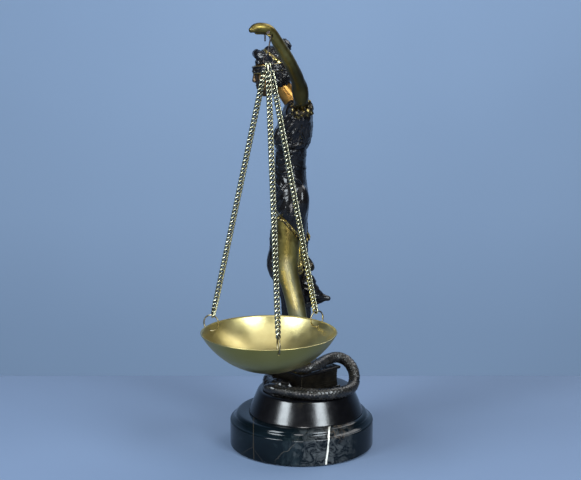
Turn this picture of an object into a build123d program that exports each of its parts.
from build123d import *
import math
import os

# Hanging-pan figurine scale, in millimetres.  +Z is up and the origin is the centre of the
# underside, on the table.  The figure faces -Y and her raised left arm reaches out to +X.

# ---- stone base and its fixing -------------------------------------------------------------
FELT_R = 47.0
FELT_T = 1.0
BASE_R = 50.0                  # the driving size: a 100 mm disc
BASE_TOP_Z = 24.0
BASE_FLAT_R = 43.5             # flat top inside the moulding
BASE_WALL_TOP_Z = 18.0
BASE_COVE_R = 46.5
BASE_COVE_Z = 21.8
ROD_R = 2.5                    # threaded rod, M5
ROD_CLEAR = 0.1
ROD_TOP_Z = 36.0
NUT_FLATS = 8.0
NUT_T = 4.0
WASHER_R = 8.0
WASHER_T = 1.2
COUNTERBORE_R = 11.0
COUNTERBORE_TOP_Z = 8.0

# ---- turned plinth ---------------------------------------------------------------------------
PLINTH_Y = 3.0                 # the plinth stands a little off the disc's centre
PLINTH_BOTTOM_R = 40.0
PLINTH_TOP_R = 33.0
PLINTH_TOP_Z = 40.5
PLINTH_EDGE_R = 1.6

# ---- rock, book and snake --------------------------------------------------------------------
ROCK_TOP_Z = 49.0
BOOK_CORNER = (24.0, 0.0)      # the corner nearest to +X
BOOK_LONG = 36.0
BOOK_WIDE = 33.0
BOOK_TURN = 130.6              # direction of the long side, degrees from +X
BOOK_TOP_Z = 56.0
BOARD_T = 1.8
PAGE_INSET = 1.6
SNAKE_R = 4.0

# ---- figure ------------------------------------------------------------------------------------
WAIST_Z = 208.0                # the bodice meets the dress here
DRESS_LOW_Z = 158.0            # the skirt hangs from here
SKIRT_HEM_Z = 67.0
HEAD_CENTRE = (1.0, -20.5, 259.5)
HEAD_TILT = 8.0                # degrees, crown leaning forward
SWORD_X = -31.5
SWORD_TIP_Y = -6.5
SWORD_LEAN = 0.085             # forward per unit of height
BLADE_TIP_Z = 62.0
GUARD_Z = 152.5
GUARD_HUB = 4.8
GUARD_LONG = 13.0
GRIP_R = 1.7
POMMEL_Z = 178.0
POMMEL_R = 2.7
POMMEL_FLAT = 1.9              # the ball's flat below its centre

# ---- scale: everything hangs on one plumb line ---------------------------------------------------
PLUMB_X = 67.0
PLUMB_Y = -21.5
PIN_Z = 286.9
PIN_R = 1.25
PIN_HALF = 2.9
HOOK_WIRE_R = 0.5
HOOK_BEND_R = 1.8              # centre line of both bends
HOOK_LOW_Z = 273.4             # centre of the lower bend
HOOK_TIP_Z = 281.2
SLOT_WIDE = 1.6
SLOT_R = 2.8
RING_R = 2.9                   # top ring, centre line
RING_WIRE_R = 0.4
HANG_GAP = 0.05                # between two linked wires
PAN_RIM_R = 43.8
PAN_RIM_Z = 98.0
PAN_DEPTH = 26.7
PAN_WALL = 0.9
PAN_FLAT_R = 8.5
HOLE_DROP = 3.1                # hole centre below the rim
HOLE_R = 0.8
JUMP_R = 5.25                  # jump ring, centre line
JUMP_WIRE_R = 0.5
CHAIN_AZIMUTH = {"front": 9.3, "left": -110.7, "right": 129.3}
LINK_WIRE_R = 0.525
LINK_BEND_R = 1.2
LINK_PITCH = 2.7
LINK_SLACK = 0.1
END_LINK_PITCH = 5.4           # the long link at the top of each chain
TOP_SPREAD = 1.3               # the chains sit side by side on the top ring

TOP_SHIFT = {"front": 0.0, "left": -TOP_SPREAD, "right": TOP_SPREAD}

os.makedirs("parts", exist_ok=True)


def save(shape, node):
    """Write one sub-part."""
    shape.label = node
    export_step(shape, f"parts/{node}.step")


def solid_of(shape):
    """The shape's largest solid, without slivers left by a cut."""
    return max(shape.solids(), key=lambda solid: solid.volume)


def disc(radius, z_low, z_high, x=0.0, y=0.0):
    """An upright cylinder between two heights."""
    height = z_high - z_low
    return Pos(x, y, z_low) * extrude(Circle(radius), height)


def turned(points, x=0.0, y=0.0):
    """Revolve a closed (radius, height) outline about an upright axis."""
    outline = make_face(Polyline(*[(r, 0, z) for r, z in points], close=True))
    return Pos(x, y, 0) * revolve(outline, Axis.Z)


def stack(sections):
    """Loft level ellipses given as (z, centre x, front y, back y, half width in x)."""
    faces = []
    for z, cx, front, back, half in sections:
        middle = (front + back) / 2
        faces.append(Plane((cx, middle, z)) * Ellipse(half, (back - front) / 2))
    return loft(faces)


def limb(stations):
    """Loft circles square to a path given as (x, y, z, radius)."""
    points = [Vector(x, y, z) for x, y, z, radius in stations]
    faces = []
    last = len(points) - 1
    for i, station in enumerate(stations):
        along = points[min(i + 1, last)] - points[max(i - 1, 0)]
        faces.append(Plane(points[i], z_dir=along) * Circle(station[3]))
    return loft(faces)


def row_of_ellipses(sections):
    """Loft upright ellipses square to Y, given as (y, centre x, centre z, half x, half z)."""
    faces = []
    for y, cx, cz, half_x, half_z in sections:
        faces.append(Plane((cx, y, cz), x_dir=(1, 0, 0), z_dir=(0, 1, 0)) * Ellipse(half_x, half_z))
    return loft(faces)


def egg(centre, radius, half_height, tilt=0.0):
    """A round egg, its long axis leaning forward by tilt degrees."""
    body = scale(Sphere(1), by=(radius, radius, half_height))
    return Pos(*centre) * Rot(tilt, 0, 0) * body


def ring(centre, radius, wire, facing):
    """A round wire ring whose axis is the facing direction."""
    return Plane(centre, z_dir=facing) * Torus(radius, wire)


# ---- base -------------------------------------------------------------------------------------------
def make_felt_pad():
    """Felt disc under the stone, open in the middle."""
    return disc(FELT_R, 0, FELT_T) - disc(COUNTERBORE_R, -1, FELT_T + 1)


def make_felt_plug():
    """The loose disc of felt that covers the nut's pocket."""
    return disc(COUNTERBORE_R - 0.1, 0, FELT_T)


def make_marble_base():
    """Turned stone disc with a cove moulding, bored and counterbored from below."""
    body = turned([
        (0, FELT_T), (BASE_R - 0.5, FELT_T), (BASE_R, FELT_T + 0.5),
        (BASE_R, BASE_WALL_TOP_Z), (BASE_R - 0.35, BASE_WALL_TOP_Z + 0.85),
        (BASE_R - 1.2, BASE_WALL_TOP_Z + 1.2), (BASE_COVE_R + 0.8, BASE_COVE_Z - 1.3),
        (BASE_COVE_R, BASE_COVE_Z), (BASE_COVE_R - 0.6, BASE_COVE_Z + 1.3),
        (BASE_FLAT_R + 0.7, BASE_TOP_Z - 0.2), (BASE_FLAT_R, BASE_TOP_Z), (0, BASE_TOP_Z),
    ])
    body -= disc(COUNTERBORE_R, 0, COUNTERBORE_TOP_Z)
    body -= disc(ROD_R + ROD_CLEAR, 0, BASE_TOP_Z + 1)
    return body


def make_threaded_rod():
    """Rod that ties the figure and plinth to the stone."""
    return disc(ROD_R, COUNTERBORE_TOP_Z - WASHER_T - NUT_T - 0.6, ROD_TOP_Z)


def make_washer():
    """Washer in the counterbore."""
    top = COUNTERBORE_TOP_Z
    return disc(WASHER_R, top - WASHER_T, top) - disc(ROD_R + ROD_CLEAR, 0, top + 1)


def make_hex_nut():
    """Nut under the washer."""
    top = COUNTERBORE_TOP_Z - WASHER_T
    flats = RegularPolygon(NUT_FLATS / 2, 6, major_radius=False)
    nut = Pos(0, 0, top - NUT_T) * extrude(flats, NUT_T)
    return nut - disc(ROD_R + 0.02, 0, top + 1)


def make_plinth():
    """Turned cone under the rock."""
    outline = make_face(Polyline(
        (0, 0, BASE_TOP_Z), (PLINTH_BOTTOM_R - 0.6, 0, BASE_TOP_Z), (PLINTH_BOTTOM_R, 0, BASE_TOP_Z + 0.6),
        (PLINTH_TOP_R, 0, PLINTH_TOP_Z), (0, 0, PLINTH_TOP_Z), close=True))
    body = Pos(0, PLINTH_Y, 0) * revolve(outline, Axis.Z)
    rim = body.edges().sort_by(Axis.Z)[-1]
    body = fillet(rim, PLINTH_EDGE_R)
    return body - disc(ROD_R + 0.02, 0, ROD_TOP_Z + 0.5)


# ---- rock, book, snake ---------------------------------------------------------------------------------
def book_frame():
    """Plane at the book's near corner: x along the long side, y along the short one."""
    turn = math.radians(BOOK_TURN)
    along = (math.cos(turn), math.sin(turn), 0)
    return Plane((*BOOK_CORNER, PLINTH_TOP_Z), x_dir=along, z_dir=(0, 0, 1))


def book_slab(inset, z_low, z_high):
    """A slab of the book between two heights above the plinth, drawn in on three sides."""
    long_side = BOOK_LONG - 2 * inset
    wide_side = BOOK_WIDE - inset
    sketch = Pos(inset + long_side / 2, inset + wide_side / 2) * Rectangle(long_side, wide_side)
    return book_frame() * (Pos(0, 0, z_low) * extrude(sketch, z_high - z_low))


def make_book_boards():
    """The two boards and the spine that joins them."""
    thick = BOOK_TOP_Z - PLINTH_TOP_Z
    spine = Pos(BOOK_LONG / 2, BOOK_WIDE - BOARD_T / 2) * Rectangle(BOOK_LONG, BOARD_T)
    body = book_slab(0, 0, BOARD_T) + book_slab(0, thick - BOARD_T, thick)
    body += book_frame() * extrude(spine, thick)
    return body


def make_book_pages():
    """Page block between the boards."""
    thick = BOOK_TOP_Z - PLINTH_TOP_Z
    return book_slab(PAGE_INSET, BOARD_T, thick - BOARD_T) - make_book_boards()


def make_rock():
    """The steep rough block in front of the book that carries her right foot."""
    lower = [(22, -20), (24, -8), (14, 4), (-20, 8), (-27, -4), (-24, -19), (-8, -28), (10, -27)]
    upper = [(15, -19), (17, -9), (9, 1), (-17, 5), (-22, -4), (-20, -17), (-7, -26), (8, -24.5)]
    faces = []
    for outline, z in ((lower, PLINTH_TOP_Z), (upper, ROCK_TOP_Z)):
        faces.append(Pos(0, 0, z) * make_face(Polyline(*outline, close=True)))
    body = loft(faces, ruled=True)
    hole = book_slab(-0.1, -1, BOOK_TOP_Z)
    return solid_of(body - hole)


def snake_stations():
    """Centre line and radius of the snake from its snout to the tip of its tail."""
    r = SNAKE_R
    return [
        (22.0, -25.5, 46.6, 1.2), (23.5, -23.0, 47.0, 3.3), (26.0, -18.5, 47.3, 4.4),
        (28.5, -13.0, 46.6, 3.6), (30.5, -4.0, 45.9, r), (31.5, 8.0, 45.2, r), (30.0, 19.0, 45.0, r),
        (24.5, 28.5, 44.9, r), (16.0, 34.2, 45.3, r), (8.5, 36.3, 48.6, r), (3.0, 35.6, 53.8, r),
        (-2.5, 31.5, 58.4, r), (-5.0, 25.5, 60.4, r), (-1.0, 19.0, 60.5, r), (7.0, 13.8, 60.4, 3.8),
        (15.0, 9.2, 60.2, 3.5), (19.6, 4.4, 59.5, 2.9), (19.2, -1.5, 58.6, 2.2), (16.4, -5.6, 57.7, 1.3),
        (14.4, -7.8, 57.1, 0.6),
    ]


def make_snake():
    """Snake lying round the rock."""
    return limb(snake_stations())


# ---- figure ---------------------------------------------------------------------------------------------
def make_left_leg(dress):
    """Bare left leg, from the skirt to the foot."""
    shank = limb([
        (9.5, -9.0, 157.5, 8.2), (10.0, -9.4, 150, 8.0), (10.0, -9.9, 139, 7.7), (10.0, -10.1, 128, 7.4),
        (10.0, -7.6, 116, 6.7), (10.0, -3.6, 99, 5.8), (9.6, -0.2, 83, 4.9), (9.2, 1.8, 70, 3.9),
        (9.0, 2.4, 61, 3.6),
    ])
    foot = row_of_ellipses([
        (6.8, 8.8, 59.4, 1.8, 2.4), (4.0, 8.8, 60.2, 3.4, 4.0), (-2.0, 8.6, 60.5, 3.6, 4.2),
        (-9.0, 8.2, 59.0, 4.1, 2.8), (-15.0, 7.8, 58.1, 4.1, 1.9), (-17.6, 7.6, 57.6, 2.8, 1.3),
    ])
    return solid_of(shank + foot - dress)


def make_right_leg(skirt):
    """Shin and foot under the hem."""
    ankle = limb([(-8.5, -1.4, SKIRT_HEM_Z, 3.9), (-8.5, -1.7, 64, 3.7), (-8.5, -2.0, 60.5, 3.5)])
    foot = row_of_ellipses([
        (2.6, -8.5, 59.2, 1.8, 2.2), (0.2, -8.5, 60.0, 3.2, 3.8), (-5.5, -8.7, 60.2, 3.5, 3.9),
        (-12, -9.1, 58.9, 3.9, 2.7), (-17.5, -9.4, 58.1, 3.9, 1.9), (-20, -9.4, 57.6, 2.6, 1.3),
    ])
    return solid_of(ankle + foot - skirt)


def make_skirt(left_leg):
    """The long skirt over the right leg, slit open over the left one."""
    body = stack([
        (DRESS_LOW_Z, -3, -19.5, 4.0, 16), (147, -6.5, -22.5, 4.5, 13.5), (136, -8, -22.0, 4.0, 12.5),
        (125, -8.5, -24.0, 4.0, 12), (114, -8.5, -19.5, 5.0, 11.5), (103, -8.5, -14.0, 6.0, 11),
        (92, -9, -13.5, 6.5, 10.5), (80, -9.5, -14.5, 6.5, 11), (SKIRT_HEM_Z, -10, -16.5, 7.0, 12.5),
    ])
    return solid_of(body - left_leg)


def make_dress():
    """Waist and hips, from under the bodice to the top of the legs."""
    return stack([
        (DRESS_LOW_Z, 0, -18.6, 3.6, 18.6), (165, 0, -18.6, 4.7, 20), (174, 0, -19.0, 4.9, 19.2),
        (184, 0, -18.9, 3.4, 16.4), (195, 0, -18.3, 2.4, 14.0), (203, 0, -18.2, 3.0, 14.6),
        (WAIST_Z, 0, -17.6, 3.2, 14.8),
    ])


def make_bodice():
    """Upper dress, over the chest and back."""
    return stack([
        (WAIST_Z, 0, -18.6, 4.2, 16.2), (212, 0, -19.0, 6.4, 17.4), (220, 0, -18.6, 7.0, 19.0),
        (227, 0, -16.4, 7.1, 19.6), (233, 0, -13.2, 7.0, 18.6), (237.5, 0.5, -11.6, 5.8, 13.5),
        (240.0, 0.8, -11.0, 2.6, 8.5),
    ])


def make_left_arm(bodice):
    """The raised arm, with the slot and the pin's bore in its palm."""
    arm = limb([
        (17, 0.2, 231.5, 5.4), (21.5, -0.2, 238, 5.4), (29.5, -1.3, 250, 5.0), (37, -3.3, 257.8, 4.7),
        (46, -6.7, 264.9, 4.4), (53, -10.7, 272.5, 4.2), (60, -15.4, 281, 3.8), (64.5, -18.4, 286.2, 3.5),
        (67.2, -21.8, 288.6, 3.3), (69.6, -25.6, 289.5, 3.2), (71.4, -29.0, 289.2, 2.6),
        (72.3, -31.4, 288.3, 1.5),
    ])
    slot = Plane((PLUMB_X, PLUMB_Y, PIN_Z), z_dir=(1, 0, 0)) * Cylinder(SLOT_R, SLOT_WIDE)
    mouth = Pos(PLUMB_X, PLUMB_Y, PIN_Z - 5) * Box(SLOT_WIDE, 2 * SLOT_R, 10)
    bore = Plane((PLUMB_X, PLUMB_Y, PIN_Z), z_dir=(1, 0, 0)) * Cylinder(PIN_R + 0.02, 12)
    return solid_of(arm - bodice - slot - mouth - bore)


def make_shoulder_cuff(bodice, left_arm):
    """The gathered edge of the sleeveless bodice, round the arm."""
    collar = limb([(18.5, 0.2, 232.6, 6.7), (20.6, 0.0, 235.6, 7.4), (22.6, -0.2, 239.0, 6.5)])
    return solid_of(collar - bodice - left_arm)


def make_head(bodice):
    """Neck and head, resting in the bodice."""
    skull = egg(HEAD_CENTRE, 11.0, 16.0, HEAD_TILT)
    neck = limb([(1.5, -4.5, 238.6, 6.4), (1.3, -9.5, 244, 5.9), (1.0, -15.5, 251, 6.4)])
    return solid_of(skull + solid_of(neck - bodice))


def make_blindfold(head):
    """A flat cloth band round the head."""
    cx, cy, cz = HEAD_CENTRE
    band = Pos(cx, cy + 0.2, cz - 0.6) * Rot(HEAD_TILT, 0, 0) * extrude(Circle(12.2), 6.4)
    return solid_of(band - head)


def make_hair(head, blindfold):
    """The cap of hair, the roll over the brow and the knot, open over the face."""
    cx, cy, cz = HEAD_CENTRE
    cap = egg((cx, cy + 1.4, cz + 1.6), 12.6, 15.6, HEAD_TILT)
    roll = Pos(cx, cy + 0.6, cz + 9.4) * Rot(HEAD_TILT, 0, 0) * Torus(9.4, 2.9)
    knot = egg((cx + 1.5, cy + 9.6, cz + 15.6), 5.0, 5.6)
    face = Pos(cx, cy - 12, cz - 9) * Box(40, 17, 30)
    nape = Pos(cx, cy, cz - 20) * Box(40, 60, 18)
    return solid_of(cap + roll + knot - face - nape - head - blindfold)


def sword_place(z):
    """The sword leans a little: its place on the axis at a height."""
    return Vector(SWORD_X, SWORD_TIP_Y + SWORD_LEAN * (BLADE_TIP_Z - z), z)


def sword_axis(z):
    """Plane across the sword at a height, its x along the guard."""
    return Plane(sword_place(z), x_dir=(1, 0, 0), z_dir=(0, -SWORD_LEAN, 1))


def make_right_arm(bodice):
    """The lowered arm and its fist, with the bore that the sword's grip fills."""
    arm = limb([
        (-13, -0.4, 232, 5.6), (-19, -0.8, 228, 5.8), (-24.5, -1.4, 218, 5.4), (-27.8, -2.2, 205, 5.0),
        (-29.6, -3.6, 192, 4.6), (-30.6, -7.0, 181, 4.1), (-31.2, -11.6, 172, 3.3),
        (-31.5, -14.2, 167, 4.0), (-31.5, -15.2, 162, 4.0), (-31.5, -15.4, 158, 2.8),
    ])
    grip = sword_axis(166) * Cylinder(GRIP_R + 0.02, 60)
    return solid_of(arm - bodice - grip)


def make_sword_grip():
    """Round grip between the guard and the pommel."""
    low = GUARD_Z + GUARD_HUB / 2
    return sword_axis((low + POMMEL_Z) / 2) * Cylinder(GRIP_R, POMMEL_Z - low - 2 * POMMEL_FLAT)


def make_sword_guard():
    """Cross bar through a short hub."""
    bar = sword_axis(GUARD_Z) * (Rot(90, 0, 0) * Cylinder(1.4, GUARD_LONG))
    return bar + sword_axis(GUARD_Z) * Cylinder(2.4, GUARD_HUB)


def make_sword_pommel():
    """A ball with a flat under it for the grip."""
    ball = Sphere(POMMEL_R) - Pos(0, 0, -POMMEL_FLAT - 5) * Box(10, 10, 10)
    return sword_axis(POMMEL_Z) * ball


def make_sword_blade():
    """A flat diamond blade, drawn to a point."""
    faces = []
    for z, half, thick in ((GUARD_Z - GUARD_HUB / 2, 2.7, 0.9), (80, 2.4, 0.8), (BLADE_TIP_Z, 0.3, 0.2)):
        rhomb = make_face(Polyline((thick, 0), (0, half), (-thick, 0), (0, -half), close=True))
        faces.append(sword_axis(z) * rhomb)
    return loft(faces, ruled=True)


def make_hip_drape(dress, skirt):
    """The two hanging lobes of the shawl behind the hip."""
    fold = limb([
        (-3.0, 2.2, 157.6, 2.2), (-3.0, 2.8, 152, 3.6), (-3.2, 2.9, 145, 3.8), (-3.6, 3.6, 138, 2.8),
        (-3.8, 5.0, 132.5, 2.6), (-4.0, 7.4, 128, 3.9), (-4.0, 8.8, 124.6, 3.4), (-4.0, 9.4, 122.4, 1.4),
    ])
    return solid_of(fold - dress - skirt)


def make_drape_tail(skirt, left_leg, hip_drape):
    """The end of the shawl, blown out behind her."""
    tail = row_of_ellipses([
        (2.0, -4.0, 112.0, 6.0, 13.0), (5.5, -4.2, 111.5, 6.2, 11.5), (9.5, -4.6, 107.6, 5.2, 7.6),
        (13.5, -5.0, 105.0, 4.2, 4.3), (17.0, -5.0, 104.0, 3.0, 2.3), (19.8, -5.0, 103.6, 1.2, 0.9),
    ])
    return solid_of(tail - skirt - left_leg - hip_drape)


# ---- the scale ------------------------------------------------------------------------------------------
def make_hook_pin():
    """Pin across the slot in the palm."""
    return Plane((PLUMB_X, PLUMB_Y, PIN_Z), z_dir=(1, 0, 0)) * Cylinder(PIN_R, 2 * PIN_HALF)


def make_hook():
    """S hook: its upper bend lies in the YZ plane and its lower bend in the XZ plane."""
    x, y, bend = PLUMB_X, PLUMB_Y, HOOK_BEND_R
    tip = (x, y - bend, HOOK_TIP_Z)
    top_in = (x, y - bend, PIN_Z)
    top_out = (x, y + bend, PIN_Z)
    low_in = (x + bend, y, HOOK_LOW_Z)
    low_out = (x - bend, y, HOOK_LOW_Z)
    shank = FilletPolyline(top_out, (x, y + bend, PIN_Z - 3.6), (x + bend, y, HOOK_LOW_Z + 3.4), low_in,
                           radius=3.0)
    wire = Wire([
        Line(tip, top_in).edge(),
        ThreePointArc(top_in, (x, y, PIN_Z + bend), top_out).edge(),
        *shank.edges(),
        ThreePointArc(low_in, (x, y, HOOK_LOW_Z - bend), low_out).edge(),
        Line(low_out, (x - bend, y, HOOK_LOW_Z + 2.4)).edge(),
    ])
    start = Plane(tip, z_dir=(0, 0, 1)) * Circle(HOOK_WIRE_R)
    return sweep(start, path=wire)


def ring_centre_z():
    """The top ring hangs from the bottom of the hook's lower bend."""
    bend_bottom = HOOK_LOW_Z - HOOK_BEND_R
    return bend_bottom + HOOK_WIRE_R + HANG_GAP + RING_WIRE_R - RING_R


def make_top_ring():
    """Small ring that gathers the three chains."""
    return ring((PLUMB_X, PLUMB_Y, ring_centre_z()), RING_R, RING_WIRE_R, (1, 0, 0))


def pan_sphere():
    """Outer sphere of the bowl: its radius and the height of its centre."""
    radius = (PAN_RIM_R ** 2 + PAN_DEPTH ** 2) / (2 * PAN_DEPTH)
    return radius, PAN_RIM_Z - PAN_DEPTH + radius


def hole_place():
    """Radius and height of the middle of each hole in the bowl's wall."""
    radius, centre_z = pan_sphere()
    z = PAN_RIM_Z - HOLE_DROP
    return math.sqrt((radius - PAN_WALL / 2) ** 2 - (centre_z - z) ** 2), z


def chain_top(azimuth):
    """Where a chain's first link hangs on the top ring."""
    shift = TOP_SHIFT[azimuth]
    drop = math.sqrt(RING_R ** 2 - shift ** 2)
    return Vector(PLUMB_X, PLUMB_Y + shift, ring_centre_z() - drop)


def top_wire_direction(azimuth):
    """Direction of the top ring's wire where a chain hangs on it."""
    shift = TOP_SHIFT[azimuth]
    drop = math.sqrt(RING_R ** 2 - shift ** 2)
    return Vector(0, drop, shift) / RING_R


def outward(azimuth):
    """Level direction from the plumb line towards a chain."""
    angle = math.radians(CHAIN_AZIMUTH[azimuth])
    return Vector(math.cos(angle), math.sin(angle), 0)


def jump_ring_place(azimuth):
    """Centre of a jump ring and the direction of its chain's pull."""
    reach, z = hole_place()
    hole = Vector(PLUMB_X, PLUMB_Y, z) + outward(azimuth) * reach
    pull = (chain_top(azimuth) - hole).normalized()
    return hole + pull * JUMP_R, pull


def make_pan():
    """Thin spherical bowl with a small flat under it and three wire holes."""
    radius, centre_z = pan_sphere()
    inner = radius - PAN_WALL
    flat_z = centre_z - math.sqrt(radius ** 2 - PAN_FLAT_R ** 2)
    rim_in = math.sqrt(inner ** 2 - (centre_z - PAN_RIM_Z) ** 2)
    floor_r = math.sqrt(inner ** 2 - (centre_z - flat_z - PAN_WALL) ** 2)
    outer_mid = (radius * math.sin(0.6), 0, centre_z - radius * math.cos(0.6))
    inner_mid = (inner * math.sin(0.6), 0, centre_z - inner * math.cos(0.6))
    outline = make_face([
        Line((0, 0, flat_z), (PAN_FLAT_R, 0, flat_z)),
        ThreePointArc((PAN_FLAT_R, 0, flat_z), outer_mid, (PAN_RIM_R, 0, PAN_RIM_Z)),
        Line((PAN_RIM_R, 0, PAN_RIM_Z), (rim_in, 0, PAN_RIM_Z)),
        ThreePointArc((rim_in, 0, PAN_RIM_Z), inner_mid, (floor_r, 0, flat_z + PAN_WALL)),
        Line((floor_r, 0, flat_z + PAN_WALL), (0, 0, flat_z + PAN_WALL)),
        Line((0, 0, flat_z + PAN_WALL), (0, 0, flat_z)),
    ])
    bowl = Pos(PLUMB_X, PLUMB_Y, 0) * revolve(outline, Axis.Z)
    for name in CHAIN_AZIMUTH:
        centre, pull = jump_ring_place(name)
        along = pull.cross(Vector(0, 0, 1).cross(outward(name)))
        bowl -= Plane(centre - pull * JUMP_R, z_dir=along) * Cylinder(HOLE_R, 6)
    return bowl


def make_jump_ring(name):
    """Ring through a hole in the rim of the pan."""
    centre, pull = jump_ring_place(name)
    across = Vector(0, 0, 1).cross(outward(name))
    return Plane(centre, x_dir=pull, z_dir=across) * Torus(JUMP_R, JUMP_WIRE_R)


def make_link(length):
    """One oval link lying along X, its wire's centre line this long end to end."""
    straight = length - 2 * LINK_BEND_R
    oval = SlotCenterToCenter(straight, 2 * LINK_BEND_R).wire()
    start = oval.position_at(0)
    section = Plane(start, z_dir=oval.tangent_at(0)) * Circle(LINK_WIRE_R)
    return sweep(section, path=oval)


def turned_about(direction, axis, angle):
    """A direction square to the axis, turned about it by an angle in radians."""
    return direction * math.cos(angle) + axis.cross(direction) * math.sin(angle)


def make_chain(name):
    """A run of oval links, each a quarter turn from the last, with a long link on top.

    The run is twisted evenly, so that its end links are square to the rings they hold."""
    centre, pull = jump_ring_place(name)
    wire = 2 * LINK_WIRE_R
    reach = (wire + LINK_SLACK) / 2
    top = chain_top(name) + pull * (reach - END_LINK_PITCH)
    bottom = centre + pull * (JUMP_R - reach)
    run = (top - bottom).length
    odd = 0 if name == "front" else 1
    count = 2 * round((run / LINK_PITCH - 1 - odd) / 2) + 1 - odd
    pitch = run / count

    across = Vector(0, 0, 1).cross(outward(name))
    square = across.cross(pull)
    last = across if count % 2 else square
    goal = top_wire_direction(name)
    twist = math.atan2(pull.cross(last).dot(goal), last.dot(goal))
    if abs(twist) > math.pi / 2:
        twist -= math.copysign(math.pi, twist)

    link = make_link(pitch + wire + LINK_SLACK)
    end_link = make_link(END_LINK_PITCH + wire + LINK_SLACK)
    links = []
    for i in range(count + 1):
        facing = turned_about(across if i % 2 else square, pull, twist * i / count)
        at_end = i == count
        middle = top + pull * (END_LINK_PITCH / 2) if at_end else bottom + pull * (pitch * (i + 0.5))
        place = Plane(middle, x_dir=pull, z_dir=facing).location
        links.append(place * (end_link if at_end else link))
    return Compound(children=links)


def build():
    """Make every sub-part and write it."""
    save(make_felt_pad(), "felt_pad")
    save(make_felt_plug(), "felt_plug")
    save(make_marble_base(), "marble_base")
    save(make_threaded_rod(), "threaded_rod")
    save(make_washer(), "washer")
    save(make_hex_nut(), "hex_nut")
    save(make_plinth(), "plinth")
    save(make_book_boards(), "book_boards")
    save(make_book_pages(), "book_pages")
    save(make_rock(), "rock")
    save(make_snake(), "snake")

    bodice = make_bodice()
    dress = make_dress()
    left_leg = make_left_leg(dress)
    skirt = make_skirt(left_leg)
    left_arm = make_left_arm(bodice)
    head = make_head(bodice)
    blindfold = make_blindfold(head)
    hip_drape = make_hip_drape(dress, skirt)
    save(bodice, "bodice")
    save(dress, "dress")
    save(left_leg, "left_leg")
    save(make_right_leg(skirt), "right_leg")
    save(skirt, "skirt")
    save(left_arm, "left_arm")
    save(make_shoulder_cuff(bodice, left_arm), "shoulder_cuff")
    save(head, "head")
    save(blindfold, "blindfold")
    save(make_hair(head, blindfold), "hair")
    save(make_right_arm(bodice), "right_arm")
    save(hip_drape, "hip_drape")
    save(make_drape_tail(skirt, left_leg, hip_drape), "drape_tail")
    save(make_sword_grip(), "sword_grip")
    save(make_sword_guard(), "sword_guard")
    save(make_sword_pommel(), "sword_pommel")
    save(make_sword_blade(), "sword_blade")

    save(make_hook_pin(), "hook_pin")
    save(make_hook(), "hook")
    save(make_top_ring(), "top_ring")
    save(make_pan(), "pan")
    for name in CHAIN_AZIMUTH:
        save(make_jump_ring(name), f"jump_ring_{name}")
        save(make_chain(name), f"chain_{name}")


build()
